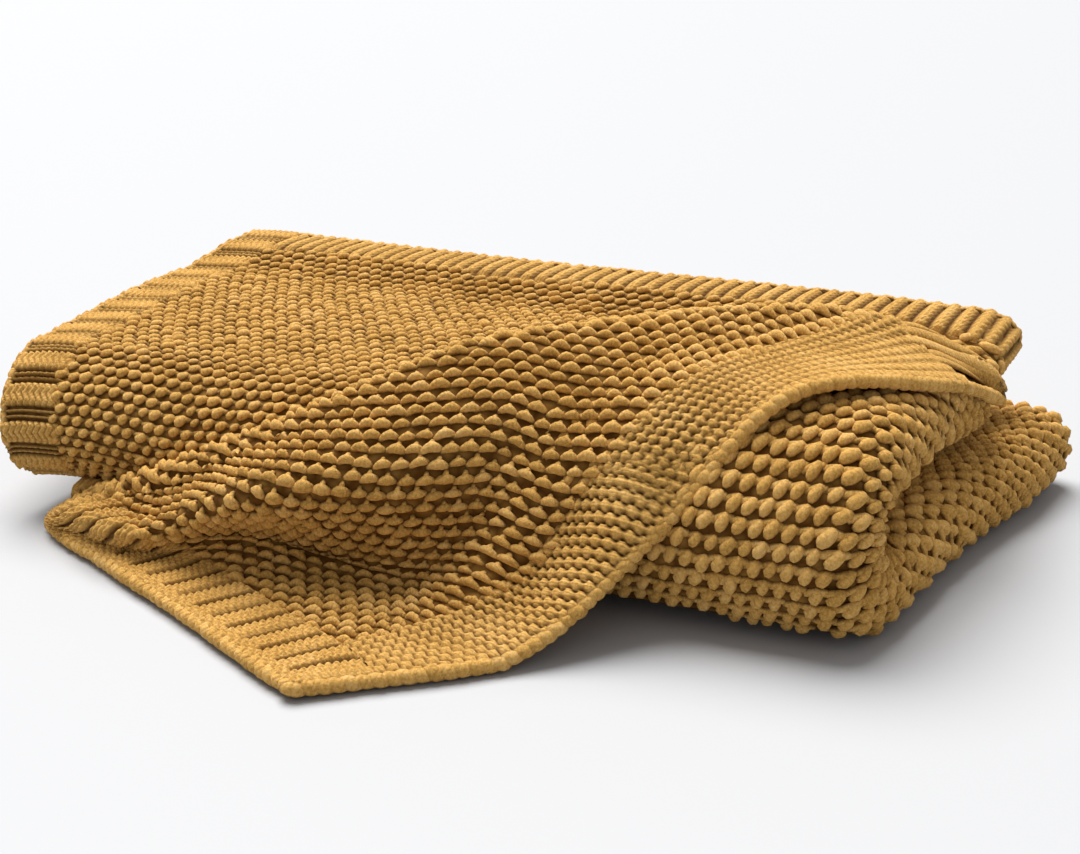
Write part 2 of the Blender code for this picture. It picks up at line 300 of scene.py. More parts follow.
def turned(station, t):
    """The corner's cloth: t = 1 to 0 not turned, 0 to -LIP the lip, on to -1 the flap."""
    station, t = np.broadcast_arrays(np.asarray(station, float), np.asarray(t, float))
    a, b = (1 + station) / 2, (1 - station) / 2
    s = np.clip(t, 0, 1)
    flat = top_layer(
        a + s * (np.minimum(1 + station, 1) - a), b + s * (np.minimum(1 - station, 1) - b)
    )
    base, out, across = fold_frame(station)
    knots = np.concatenate([[-1], FLAP["station"], [1]])
    lips = np.concatenate([[LIP_END], FLAP["lip"], [LIP_END]])
    lift = curve(station, knots, lips)[..., None]
    crest = base + out * lift
    round_lip = np.pi * np.clip(-t / LIP, 0, 1)[..., None]
    lip = base + out * lift * (1 - np.cos(round_lip)) / 2
    lip = lip + across * lift * LIP_SIDE * np.sin(round_lip)
    end_base, end_out, _ = fold_frame(np.array([-1.0, 1.0]))
    ends = end_base + end_out * LIP_END
    points = [crest]
    for name in ("shoulder", "drop", "foot", "edge"):
        line = np.concatenate([ends[:1], FLAP[name], ends[1:]])
        left = curve(station, knots[:CORNER], line[:CORNER])
        right = curve(station, knots[CORNER - 1 :], line[CORNER - 1 :])
        bent = np.where(station[..., None] < 0, left, right)
        points.append(bent if name == "edge" else curve(station, knots, line))
    points = np.stack(points, axis=0)
    slopes = np.gradient(points, FLAP_KNOTS, axis=0)
    sideways = LEAVING[1] * across * lift * (1 - station**4)[..., None]
    slopes[0] = LEAVING[0] * slopes[0] - sideways
    f = np.clip((-t - LIP) / (1 - LIP), 0, 1)
    flap = np.zeros(t.shape + (3,))
    for i in range(len(FLAP_KNOTS) - 1):
        step = FLAP_KNOTS[i + 1] - FLAP_KNOTS[i]
        here = (f >= FLAP_KNOTS[i])[..., None]
        share = np.clip((f - FLAP_KNOTS[i]) / step, 0, 1)[..., None]
        piece = hermite(share, points[i], points[i + 1], slopes[i] * step, slopes[i + 1] * step)
        flap = np.where(here, piece, flap)
    flap[..., 2] = np.maximum(flap[..., 2], GROUND_Z)
    found = np.where(t[..., None] >= 0, flat, np.where(-t[..., None] < LIP, lip, flap))
    found[..., 2] += TIP_RISE * between(station, *TIP_ALONG) * between(-t, *TIP_DOWN)
    return found


# The knitting, in metres of flat cloth ------------------------------------------------------

RIDE = "root"
INNER_RUN, INNER_RIM = 0.600, 0.034  # the inner half's cloth along the stack and round its end
OUTER_RUN, OUTER_RIM = 0.545, 0.070  # the same for the outer half
BACK_FOLD = 0.022  # cloth round the lengthwise fold at the back
CORNER_LENGTH, CORNER_WIDTH = 0.578, 0.372  # of the turned corner's back and left borders
BORDER_LAP = 0.004  # that a border reaches on under the stitches beside it
BORDER_SUNK = 0.0006  # that its lowest parts lie in the cloth
SIDE_END, LONG_END = 0.72, 0.632  # where the side border and the long border go out of sight
PAST_FOLD = (1.03, 1.01)  # shares of the way to the fold line to which the corner's borders go on
DOTTED_FROM = (0.22, 0.08)  # where the corner's long border turns to dotted rows, and its reach
GATHER = 0.080  # reach of the strands that run together at the pinch
GATHER_ANGLES = (148.5, 172.0)  # from the first strand's direction to the last's, in degrees
GATHER_UNEVEN = (0.08, 1.25)  # of the strands' reach: its share, and its turn with each degree
YARN_TURN = 0.010  # length of yarn to one unit of its map
POLE = 0.7  # that a length of yarn bulges at its ends, as a share of its radius
NO_LOOP = np.array([0.0, 0.2, 1.0])  # a direction in which no loop runs
# Painted shade: yarn below these heights takes the painted shade colour, and its own colour over the
# reach above.
STITCH_HIGH = (0.0022, 0.0036)  # height from which a stitch's colour rises, and the reach of that
BORDER_HIGH = (0.0008, 0.0048)  # the same for the ribs of a border
STRAND_HIGH = (0.0026, 0.0040)  # the same for the strands
EDGE_HIGH = (-0.00192, 0.0040)  # the same for an edge stitch, out from its middle
# Spread from one stitch to the next: turn in degrees, size, places along, across and out.
SPREAD_TURN, SPREAD_SIZE, SPREAD_ALONG, SPREAD_ACROSS, SPREAD_OUT = 6, 0.05, 0.0005, 0.0004, 0.0003
EDGE_TILT = (0.35, 0.12)  # of an edge stitch over the cloth, and its spread
EDGE_STEP = 0.004  # share of the cloth that an edge stitch takes up
EDGE_OVER = 0.0006  # height of its middle over the cloth's
FLOOR_GAP = 0.0004  # least height of the yarn over the ground
RAY_START, RAY_LENGTH = 0.006, 0.12  # height at which a place's rays start, and how far they go
RAY_LEAN = (0.42, 0.9)  # of a ray, out of the cloth and along it
RAY_SIDE = np.array([0.31, 0.53, 0.79])  # a direction in which no stitch points
DOWNWARD, LOW = -0.75, 0.020  # a place that faces down past the first, below the second, is hidden

# Paths of one stitch's loops: places along the row, across it and out, and the yarn's radius.
LOOP_COLUMNS = ("along", "across", "out", "radius")
CAP_LOOPS = (
    (
        (-0.0062, -0.0018, 0.0010, 0.0020),
        (-0.0036, -0.0004, 0.0030, 0.0028),
        (0.0000, 0.0008, 0.0042, 0.0036),
        (0.0036, 0.0002, 0.0032, 0.0029),
        (0.0062, -0.0006, 0.0012, 0.0021),
    ),
    (
        (0.0000, 0.0026, 0.0032, 0.0024),
        (0.0003, 0.0046, 0.0030, 0.0019),
        (0.0002, 0.0062, 0.0010, 0.0016),
    ),
)
TOOTH_LOOPS = (
    (
        (0.0018, -0.0034, 0.0012, 0.0023),
        (0.0018, -0.0020, 0.0034, 0.0034),
        (0.0006, 0.0000, 0.0042, 0.0036),
        (-0.0014, 0.0020, 0.0040, 0.0038),
        (-0.0028, 0.0036, 0.0014, 0.0028),
    ),
    (
        (-0.0070, -0.0012, 0.0018, 0.0024),
        (0.0000, -0.0022, 0.0032, 0.0028),
        (0.0070, -0.0016, 0.0018, 0.0024),
    ),
)
CHAIN_LOOP = (
    (-0.0060, -0.0020, 0.0010, 0.0026),
    (-0.0020, -0.0004, 0.0014, 0.0041),
    (0.0020, 0.0002, 0.0000, 0.0042),
    (0.0060, -0.0014, -0.0014, 0.0026),
)
# A strand at the pinch, at shares of its reach.
STRAND = columns(
    ("share", "out", "radius"),
    (0.05, 0.0034, 0.0009),
    (0.30, 0.0046, 0.0010),
    (0.65, 0.0052, 0.0016),
    (0.90, 0.0048, 0.0020),
    (1.06, 0.0026, 0.0018),
)


def run_place(x, run, rim):
    """Place u on the sheet at a length x along a run, round the fold's rim and back."""
    return np.interp(x, [0, run, run + rim, 2 * run + rim], [0, U_RUN, U_RIM, 1])


def inner_face(x, y):
    """Inner half's open face: x from its left end, y from its back border round the front."""
    return stacked(run_place(x, INNER_RUN, INNER_RIM), 1 - (1 - V_INNER) * y / WRAP)


def outer_face(x, y):
    """Outer half's open face: x from the left end, y round the front from the top's back."""
    round_back = V_OUTER + (y - WRAP) / BACK_FOLD * (V_INNER - V_OUTER)
    v = np.where(y < WRAP, outer_v(y / WRAP), round_back)
    return stacked(run_place(x, OUTER_RUN, OUTER_RIM), v)


def lengths_along(points):
    """Lengths along lines of points, from each line's first point."""
    steps = np.linalg.norm(np.diff(points, axis=-2), axis=-1)
    return np.cumsum(np.concatenate([np.zeros_like(steps[..., :1]), steps], axis=-1), axis=-1)


def even_places(stations, shares):
    """Places t on each station's line, where its length from the edge is this share of the whole."""
    station, t = np.linspace(-1, 1, stations), np.linspace(-1, 0, 2 * shares)
    share = np.linspace(0, 1, shares)
    lengths = lengths_along(turned(station[:, None], t[None]))
    return np.array([np.interp(share, line / line[-1], t) for line in lengths])


EVEN = even_places(121, 81)


def turned_face(x, y):
    """Turned corner's open face: x from its left border, y from its back border."""
    a, b = x / CORNER_LENGTH, y / CORNER_WIDTH
    station = np.clip(a - b, -0.9999, 0.9999)  # at -1 and 1 its line has no length
    share = (1 - a - b) / (1 - np.abs(station))
    i = (station + 1) / 2 * (EVEN.shape[0] - 1)
    j = (1 - np.clip(share, 0, 1)) * (EVEN.shape[1] - 1)
    row = np.minimum(i.astype(int), EVEN.shape[0] - 2)
    col = np.minimum(j.astype(int), EVEN.shape[1] - 2)
    first = blend((EVEN[row, col], EVEN[row, col + 1]), j - col)
    last = blend((EVEN[row + 1, col], EVEN[row + 1, col + 1]), j - col)
    return turned(station, np.where(share > 0, blend((first, last), i - row), -share))


# The faces that show: which way is out, and how far each reaches along and across its rows.
Face = namedtuple("Face", "name surface outward length first_y last_y")
INNER = Face("inner", inner_face, 1, INNER_RUN + 2 * INNER_RIM, 0.0, WRAP)
OUTER = Face("outer", outer_face, 1, OUTER_RUN + 2 * OUTER_RIM, BORDER_C * WRAP, WRAP + BACK_FOLD)
TURNED = Face("turned", turned_face, -1, CORNER_LENGTH, 0.0, CORNER_WIDTH)


def lay(face, x, y, z):
    """Points x and y along the flat cloth and z out of it, carried on to a face of the folds."""
    e = 0.0006  # half the length over which the slopes are taken
    x, y = np.clip(x, e, face.length - e), np.clip(y, face.first_y + e, face.last_y - e)
    along = face.surface(x + e, y) - face.surface(x - e, y)
    across = face.surface(x, y + e) - face.surface(x, y - e)
    out = face.outward * unit(np.cross(across, along))
    return face.surface(x, y) + out * z[..., None], out


def from_pinch(x, y):
    """Distance on the turned corner's flat cloth from the end of its fold line."""
    return np.hypot(x - CORNER_LENGTH, y)


def on_face(face, x, y):
    """Whether each place has cloth: all of the inner face, and the outer without its corner.

    The turned corner has it up to just past its fold line, and not where its strands gather.
    """
    if face is INNER:
        return np.full(x.shape, True)
    if face is TURNED:
        return (x / CORNER_LENGTH + y / CORNER_WIDTH < 1.02) & (from_pinch(x, y) > GATHER - 0.004)
    share = np.interp(y / WRAP, FOLD["place"], FOLD["share"])
    before_fold = run_place(x, OUTER_RUN, OUTER_RIM) / U_TURNED + share < 1.0
    return ~(before_fold & (y / WRAP < FOLD["place"][-1]))


def linked(name, data):
    """A new object in the scene, of this mesh, light or camera."""
    made = bpy.data.objects.new(name, data)
    bpy.context.scene.collection.objects.link(made)
    return made


def new_piece(name, points, triangles, material, uv, shade, depth):
    """A mesh object from arrays, set on the box's middle, with its yarn map, shade and depth; depth is
    the share of height that sets where it is painted in shade.
    """
    mesh = bpy.data.meshes.new(name)
    mesh.vertices.add(len(points))
    points = points - np.array([*CENTRE, 0])
    points[:, 2] = np.maximum(points[:, 2], FLOOR_GAP)
    mesh.vertices.foreach_set("co", points.astype(np.float32).ravel())
    mesh.loops.add(triangles.size)
    mesh.loops.foreach_set("vertex_index", triangles.astype(np.int32).ravel())
    mesh.polygons.add(len(triangles))
    mesh.polygons.foreach_set("loop_start", np.arange(0, triangles.size, 3, dtype=np.int32))
    mesh.polygons.foreach_set("loop_total", np.full(len(triangles), 3, np.int32))
    mesh.update(calc_edges=True)
    mesh.shade_smooth()
    layer = mesh.uv_layers.new(name="yarn")
    layer.data.foreach_set("uv", uv[triangles.ravel()].astype(np.float32).ravel())
    for attribute, values in (("shade", shade), ("depth", depth)):
        data = mesh.attributes.new(attribute, "FLOAT", "POINT").data
        data.foreach_set("value", values.astype(np.float32).ravel())
    mesh.materials.append(material)
    piece = linked(name, mesh)
    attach(piece, RIDE)
    return piece


def facing_out(points, triangles):
    """The triangles of closed shapes, turned round if their volume comes out negative."""
    a, b, c = (points[triangles[:, k]] for k in range(3))
    return triangles[:, ::-1] if np.einsum("ij,ij->i", a, np.cross(b, c)).sum() < 0 else triangles


def loop_shape(path, rings, around):
    """A closed length of yarn: circles along the smooth curve through a path, with round ends."""
    path = np.array(path)
    found = curve(np.linspace(0, 1, rings), np.linspace(0, 1, len(path)), path)
    centre, radius = found[:, :3], found[:, LOOP_COLUMNS.index("radius")]
    forward = unit(np.gradient(centre, axis=0))
    side = unit(np.cross(forward, NO_LOOP))
    over = np.cross(side, forward)
    angle = 2 * np.pi * np.arange(around) / around
    circle = np.cos(angle)[:, None] * side[:, None] + np.sin(angle)[:, None] * over[:, None]
    points = (centre[:, None] + radius[:, None, None] * circle).reshape(-1, 3)
    poles = centre[[0, -1]] + POLE * radius[[0, -1], None] * forward[[0, -1]] * np.array([[-1], [1]])
    points = np.concatenate([points, poles])
    u, v = places(lengths_along(centre) / YARN_TURN, angle / (2 * np.pi))
    uv = np.stack([u.ravel(), v.ravel()], -1)
    uv = np.concatenate([uv, [[0, 0.5], [u.max(), 0.5]]])
    i = np.arange((rings - 1) * around)
    j = i - i % around + (i + 1) % around
    sides = np.stack([i, j, j + around, i, j + around, i + around], -1).reshape(-1, 3)
    k = np.arange(around)
    first, last = rings * around, (rings - 1) * around
    start = np.stack([np.full(around, first), (k + 1) % around, k], -1)
    end = np.stack([np.full(around, first + 1), last + k, last + (k + 1) % around], -1)
    return points, np.concatenate([sides, start, end]), uv


def joined(shapes):
    """Several shapes as one: each has points, faces that number them, and values."""
    starts = np.cumsum([0] + [len(shape[0]) for shape in shapes[:-1]])
    faces = np.concatenate([shape[1] + start for shape, start in zip(shapes, starts)])
    return np.concatenate([s[0] for s in shapes]), faces, np.concatenate([s[2] for s in shapes])


def places(first, second):
    """Every place on a grid of two lists: the first list's value there, and the second's."""
    return np.meshgrid(first, second, indexing="ij")


def cells(shape):
    """The numbers of each cell's four corners, on a grid of points numbered row by row."""
    number = np.arange(np.prod(shape)).reshape(shape)
    corners = (number[:-1, :-1], number[1:, :-1], number[1:, 1:], number[:-1, 1:])
    return np.stack(corners, -1).reshape(-1, 4)


def copies(triangles, size, count):
    """The triangles of this many copies of a shape with size points."""
    return (np.arange(count)[:, None, None] * size + triangles).reshape(-1, 3)


def rotated(x, y, angle):
    """x and y turned by an angle."""
    return x * np.cos(angle) - y * np.sin(angle), x * np.sin(angle) + y * np.cos(angle)


def height_share(height, low, reach):
    """0 up to a low height, and 1 from a reach above it."""
    return np.clip((height - low) / reach, 0, 1)


def rows_of_stitches(face, lean, left, back, pitch, row, rng):
    """Stitch places in rows that wander a little, every other row half a stitch along.

    The rows wander by up to 1.8 mm and the stitches in a row by 1 mm, in waves of 0.1 to 0.3 m.
    The rows lean by an angle from the face's x, and keep off the left and back borders.
    """
    reach = face.length + face.last_y
    across = np.arange(-reach, reach, row)
    p, q = np.meshgrid(np.arange(-reach, reach, pitch), across)
    p = p + pitch / 2 * (np.arange(len(across)) % 2)[:, None]
    phase = rng.uniform(0, 2 * np.pi, 3)
    q = q + 0.0010 * np.sin(p / 0.041 + phase[0]) + 0.0008 * np.sin(p / 0.017 + q / 0.03 + phase[1])
    p = p + 0.0010 * np.sin(q / 0.035 + phase[2])
    x, y = rotated(p, q, lean)
    kept = (x > left + pitch / 3) & (x < face.length - pitch / 2)
    kept &= (y > face.first_y + back + row / 3) & (y < face.last_y)
    return x[kept], y[kept]


def open_places(face, x, y, tree):
    """The places that something outside the folds can see: a ray out of them gets away.

    Eight rays go out on a cone 25 degrees over the cloth. A low place that faces the ground
    can't be seen at all.
    """
    point, out = lay(face, x, y, np.full(x.shape, RAY_START))
    side = unit(np.cross(out, RAY_SIDE))
    other = np.cross(out, side)
    seen = np.zeros(len(x), bool)
    for turn in span(0, 2 * np.pi, 8):
        ray = RAY_LEAN[0] * out + RAY_LEAN[1] * (np.cos(turn) * side + np.sin(turn) * other)
        for i in np.flatnonzero(~seen):
            seen[i] = tree.ray_cast(point[i].tolist(), ray[i].tolist(), RAY_LENGTH)[0] is None
    seen &= (out[:, 2] > DOWNWARD) | (point[:, 2] > LOW)
    return x[seen], y[seen]


def stitch_piece(name, face, loops, lean, x, y, stretch, material, rng):
    """Stitches at places on a face: each is the same loops, a little turned, grown and moved."""
    local, triangles, uv = joined([loop_shape(path, 2 * len(path) - 1, 7) for path in loops])
    local = local * np.array(stretch)
    count = len(x)
    turn = lean + np.radians(rng.normal(0, SPREAD_TURN, count))[:, None]
    grow = rng.normal(1, SPREAD_SIZE, (count, 1))
    along, across = rotated(local[:, 0], local[:, 1], turn)
    along = along * grow + x[:, None] + rng.normal(0, SPREAD_ALONG, (count, 1))
    across = across * grow + y[:, None] + rng.normal(0, SPREAD_ACROSS, (count, 1))
    height = local[:, 2] * grow + rng.normal(0, SPREAD_OUT, (count, 1))
    points = lay(face, along, across, height)[0].reshape(-1, 3)
    every = facing_out(points, copies(triangles, len(local), count))
    shade = np.repeat(rng.uniform(0, 1, count), len(local))
    # Painted shade: the low parts of each stitch take the painted shade colour.
    depth = height_share(height, *STITCH_HIGH).ravel()
    uv = np.tile(uv, (count, 1)) + np.repeat(rng.uniform(0, 1, (count, 1)), len(local), axis=0)
    return new_piece(name, points, every, material, uv, shade, depth)


def relief(name, face, x, y, z, material, depth):
    """A raised surface over a grid of places on a face, with its height and depth there."""
    points, out = lay(face, x, y, z)
    triangles = cells(x.shape)[:, [0, 1, 2, 0, 2, 3]].reshape(-1, 3)
    points, out = points.reshape(-1, 3), out.reshape(-1, 3)
    first = points[triangles[:, 0]]
    normal = np.cross(points[triangles[:, 1]] - first, points[triangles[:, 2]] - first)
    if np.einsum("ij,ij->i", normal, out[triangles[:, 0]]).sum() < 0:
        triangles = triangles[:, ::-1]
    uv = np.stack([x.ravel(), y.ravel()], -1) / YARN_TURN
    shade = 0.5 + 0.25 * np.sin(x / 0.009) * np.sin(y / 0.012)
    return new_piece(name, points, triangles, material, uv, shade, depth)


def comb(phase, sharp):
    """Humps of height 1 with narrow valleys between them, one to each unit of phase."""
    return np.abs(np.sin(np.pi * phase)) ** sharp


def groove(distance, width):
    """1 along a line and 0 away from it, with soft sides half a width from the line."""
    return np.exp(-((2 * distance / width) ** 2))


def panel_ribs(x, y, knit):
    """Height of the side border's right side: wide panels of Vs between pairs of narrow ridges."""
    pitch, stitch = knit.side_rib, 0.0052
    panel = 0.70 * pitch
    place = y % pitch
    lines = np.array([0, 0.70, 0.85, 1.0]) * pitch
    nearest = np.abs(place[..., None] - lines).min(-1)
    lean = 1.3 * np.abs((2 * place / panel) % 1 - 0.5)
    vees = 0.0022 + 0.0026 * comb(x / stitch + lean, 0.8)
    ridges = 0.0040 + 0.0012 * comb(x / stitch, 0.8)
    return np.where(place < panel, vees, ridges) * (1 - groove(nearest, 0.0039))


def grooved_ribs(x, y, knit):
    """Height of the side border's reverse: broad ribs of fine stitches between narrow grooves."""
    pitch, stitch, row = 0.60 * knit.side_rib, 0.0046, 0.0041
    place = y % pitch
    nearest = np.minimum(place, pitch - place)
    fine = 0.0024 * comb(x / stitch + 0.5 * np.floor(y / row), 0.8) * comb(y / row, 0.8)
    fade = between(x, 0.006, 0.006, knit.side_border + 0.006, 0.010)
    dotted = 0.84 + 0.16 * comb(x / stitch, 1)
    return (0.0028 + fine) * (1 - fade * dotted * groove(nearest, 0.0046))


def slanted_ribs(x, y, knit):
    """Height of the long border: ridges across it, each a column of slanting stitches.

    The ridges lean a little, and stand closer together round the fold at the right end.
    """
    stitch, closer, slant = 0.0060, 1.2, 0.10
    phase = (x + closer * np.maximum(x - INNER_RUN, 0) + slant * y) / knit.back_rib
    lean = 0.6 * (phase % 1 - 0.5)
    return comb(phase, 0.75) * (0.0032 + 0.0012 * comb(y / stitch + lean, 0.8))


def lines_of_holes(phase, pitch, width, along, least, sharp):
    """Depth of the grooves between rows, at whole phases, dotted with holes along them."""
    nearest = pitch * (0.5 - np.abs(phase % 1 - 0.5))
    return groove(nearest, width) * blend((least, 1), comb(along, sharp))


def holed_ribs(x, y, knit):
    """Height of the long border's reverse: leaning ridges, then dotted rows towards the pinch."""
    pitch, stitch = 0.6 * knit.back_rib, 0.0058
    along, across = rotated(x, y, -knit.bias)
    phase = across / pitch
    along = along / stitch + 0.5 * np.floor(phase)
    leaning = lines_of_holes(phase, pitch, 0.0040, along, 0.15, 2.5)
    row_pitch, row_stitch = 0.0048, 0.0064
    row = y / row_pitch
    along_row = x / row_stitch + 0.5 * np.floor(row)
    dotted = lines_of_holes(row, row_pitch, 0.0030, along_row, 0.25, 2)
    share = from_place(x, *DOTTED_FROM)
    hole = blend((leaning, dotted), share)
    legs = 0.0014 * blend((comb(along + 0.5, 0.8), comb(along_row + 0.5, 0.8)), share)
    out_of_gather = from_place(from_pinch(x, y), GATHER - 0.012, 0.010)
    return (0.0032 + legs) * (1 - hole) * out_of_gather


def border_piece(name, face, ribs, x, y, knit, material):
    """One rib border: its ribs' height over the base cloth, sunk into the cloth at its sides.

    It starts half sunk at the cloth's edge, is free after a few rows and sinks in the last five.
    """
    height = ribs(x, y, knit)
    free = between(np.arange(len(x)), -1.8, 4, len(x) - 1, 5)
    z = knit.base / 2 - BORDER_SUNK + free[:, None] * height
    # Painted shade: the grooves and low sides of the ribs take the painted shade colour.
    return relief(name, face, x, y, z, material, height_share(height, *BORDER_HIGH).ravel())


def gathered_strands(count, material):
    """Ribs of the corner's cloth that run together at the pinch: tapered strands side by side."""
    strands = []
    for degrees in np.linspace(*GATHER_ANGLES, count):
        angle = np.radians(degrees)
        reach = GATHER * (1 + GATHER_UNEVEN[0] * np.cos(GATHER_UNEVEN[1] * degrees)) * STRAND["share"]
        across = reach * np.sin(angle)
        path = [CORNER_LENGTH + reach * np.cos(angle), across, STRAND["out"], STRAND["radius"]]
        strands.append(loop_shape(np.transpose(path), 26, 8))
    flat, triangles, uv = joined(strands)
    points, _ = lay(TURNED, *flat.T)
    # Painted shade: the low sides of the strands take the painted shade colour.
    depth = height_share(flat[:, 2], *STRAND_HIGH)
    shade = np.repeat(np.linspace(0, 1, count) * 7 % 1, len(flat) // count)
    return new_piece("knit_gather", points, facing_out(points, triangles), material, uv, shade, depth)


# The cloth's edges: each gives its place at a share s along it. The inset is a share of the cloth.
def corner_edge(s, inset):
    """The turned corner's left edge, and then its back edge."""
    return turned(2 * s - 1, 2 * inset - 1)


def left_edge(s, inset):
    """The left ends of the outer half's lower layer and the inner half's run."""
    return stacked(inset, blend((outer_v(FOLD["place"][-1]), 1), s))


def far_edge(s, inset):
    """The left ends of the layers that come back from the right end."""
    return stacked(1 - inset, s)


def inner_back_edge(s, inset):
    """The inner half's back edge, out and back."""
    return stacked(s, 1 - inset)


def outer_back_edge(s, inset):
    """The outer half's back edge beyond the turned corner."""
    return stacked(blend((U_TURNED, 1), s), inset)


EDGES = (corner_edge, left_edge, far_edge, inner_back_edge, outer_back_edge)


def edge_chain(edges, pitch, material, rng):
    """Edge stitches at even distances along the edges, each along, out from and over its edge."""
    shape, triangles, uv = loop_shape(CHAIN_LOOP, 7, 7)
    parts = []
    for edge in edges:
        s = np.linspace(0.0008, 0.9992, 1600)
        lengths = lengths_along(edge(s, 0.0))
        count = int(lengths[-1] / pitch)
        s = np.interp((np.arange(count) + 0.5) * lengths[-1] / count, lengths, s)
        e = 0.001  # half the share over which the edge's direction is taken
        forward = unit(edge(s + e, 0.0) - edge(s - e, 0.0))
        out = edge(s, 0.0) - edge(s, EDGE_STEP)
        out = unit(out - (out * forward).sum(-1, keepdims=True) * forward)
        over = np.cross(forward, out)
        over = over * np.where(over[:, 2:] < 0, -1, 1)
        tilt = rng.normal(*EDGE_TILT, count)[:, None]
        axes = (forward, *rotated(out, over, -tilt))
        local = shape * rng.normal(1, SPREAD_SIZE, (count, 1, 1))
        middle = edge(s, EDGE_STEP / 2) + EDGE_OVER * axes[2]
        parts.append(middle[:, None] + sum(local[..., k : k + 1] * axes[k][:, None] for k in range(3)))
    points = np.concatenate(parts).reshape(-1, 3)
    count = len(points) // len(shape)
    every = facing_out(points, copies(triangles, len(shape), count))
    shade = np.repeat(rng.uniform(0, 1, count), len(shape))
    # Painted shade: the side of each edge stitch towards the cloth takes the painted shade colour.
    depth = np.tile(height_share(shape[:, 1], *EDGE_HIGH), count)
    return new_piece("knit_edge", points, every, material, np.tile(uv, (count, 1)), shade, depth)


# Materials -----------------------------------------------------------------------------------


def node(tree, kind, inputs=None, **settings):
    """A node with these settings, and values for these inputs."""
    made = tree.nodes.new(kind)
    for name, value in settings.items():
        setattr(made, name, value)
    for name, value in (inputs or {}).items():
        made.inputs[name].default_value = value
    return made


def math_node(tree, operation, first, second=None):
    """A Math node: each of its inputs is a number or a socket."""
    made = node(tree, "ShaderNodeMath", operation=operation)
    for slot, value in enumerate((first, second)):
        if value is None:
            continue
        if isinstance(value, (int, float)):
            made.inputs[slot].default_value = value
        else:
            tree.links.new(value, made.inputs[slot])
    return made.outputs[0]


def group_tree(name, inputs, outputs):
    """An empty node group with inputs and outputs of these kinds, and its output node."""
    tree = bpy.data.node_groups.new(name, "ShaderNodeTree")
    for way, sockets in (("INPUT", inputs), ("OUTPUT", outputs)):
        for socket, kind in sockets.items():
            tree.interface.new_socket(socket, in_out=way, socket_type=f"NodeSocket{kind}")
    return tree, node(tree, "NodeGroupOutput")


def texture(tree, kind, inputs):
    """A texture at the piece's own coordinates."""
    made = node(tree, f"ShaderNodeTex{kind}", inputs)
    place = node(tree, "ShaderNodeTexCoord")
    tree.links.new(place.outputs["Object"], made.inputs["Vector"])
    return made


def ramp(tree, factor, *stops):
    """The colour that a factor has on a ramp through these stops of a position and a colour."""
    made = node(tree, "ShaderNodeValToRGB")
    elements = made.color_ramp.elements
    for position, _ in stops[1:-1]:
        elements.new(position)
    for element, (position, colour) in zip(elements, stops):
        element.position, element.color = position, (*colour, 1)
    tree.links.new(factor, made.inputs["Fac"])
    return made.outputs["Color"]


def bump(tree, height, strength, distance, **settings):
    """A Bump node that raises the surface by this height."""
    made = node(tree, "ShaderNodeBump", {"Strength": strength, "Distance": distance}, **settings)
    tree.links.new(height, made.inputs["Height"])
    return made


def yarn_colour_group(painted_shade, base, pale):
    """Node group: the dye's colour, drifting over the throw and from stitch to stitch, with painted
    shade where the yarn lies low.

    Shade, a broad noise and fine flecks are added with their weights and find a colour between
    a darker base, the base and the palest fibres. Depth, a share of height, mixes that with the
    painted shade colour, so that low yarn is painted in shade.
    """
    inputs = {"Shade": "Float", "Depth": "Float"}
    # The group gives the dye's colour with painted shade mixed in where the yarn lies low.
    tree, outside = group_tree("Dyed wool colour and painted shade", inputs, {"Color": "Color"})
    inside = node(tree, "NodeGroupInput")
    broad = texture(tree, "Noise", {"Scale": 14, "Detail": 2})
    flecks = texture(tree, "Noise", {"Scale": 560, "Detail": 5, "Roughness": 0.7})
    mixed = math_node(tree, "MULTIPLY", inside.outputs["Shade"], 0.12)
    for noise, weight in ((broad, 0.16), (flecks, 0.72)):
        part = math_node(tree, "MULTIPLY", noise.outputs["Fac"], weight)
        mixed = math_node(tree, "ADD", mixed, part)
    darker = [blend(pair, 0.55) for pair in zip(painted_shade, base)]
    dyed = ramp(tree, mixed, (0.34, darker), (0.50, base), (0.67, pale))
    # Painted shade: where depth is low, the yarn takes the painted shade colour.
    raised = ramp(tree, inside.outputs["Depth"], (0.05, (0, 0, 0)), (0.62, (1, 1, 1)))
    mix = node(tree, "ShaderNodeMix", data_type="RGBA")
    mix.inputs["A"].default_value = (*painted_shade, 1)
    tree.links.new(raised, mix.inputs["Factor"])
    tree.links.new(dyed, mix.inputs[7])  # the colour B
    tree.links.new(mix.outputs[2], outside.inputs["Color"])
    return tree


def yarn_relief_group():
    """Node group: the normal of plied yarn. The plies wind round it, and short fibres fuzz it."""
    tree, outside = group_tree("Plied yarn relief", {}, {"Normal": "Vector"})
    yarn = node(tree, "ShaderNodeUVMap", uv_map="yarn")
    parts = node(tree, "ShaderNodeSeparateXYZ")
    tree.links.new(yarn.outputs["UV"], parts.inputs["Vector"])
    wound = math_node(tree, "MULTIPLY", parts.outputs["X"], 2.0)
    wound = math_node(tree, "ADD", wound, parts.outputs["Y"])
    ply = math_node(tree, "SINE", math_node(tree, "MULTIPLY", wound, 2 * math.pi))
    fuzz = texture(tree, "Noise", {"Scale": 700, "Detail": 6, "Roughness": 0.75})
    plies = bump(tree, math_node(tree, "ABSOLUTE", ply), 0.55, 0.0007)
    fibres = bump(tree, fuzz.outputs["Fac"], 0.9, 0.0012)
    tree.links.new(plies.outputs["Normal"], fibres.inputs["Normal"])
    tree.links.new(fibres.outputs["Normal"], outside.inputs["Normal"])
    return tree


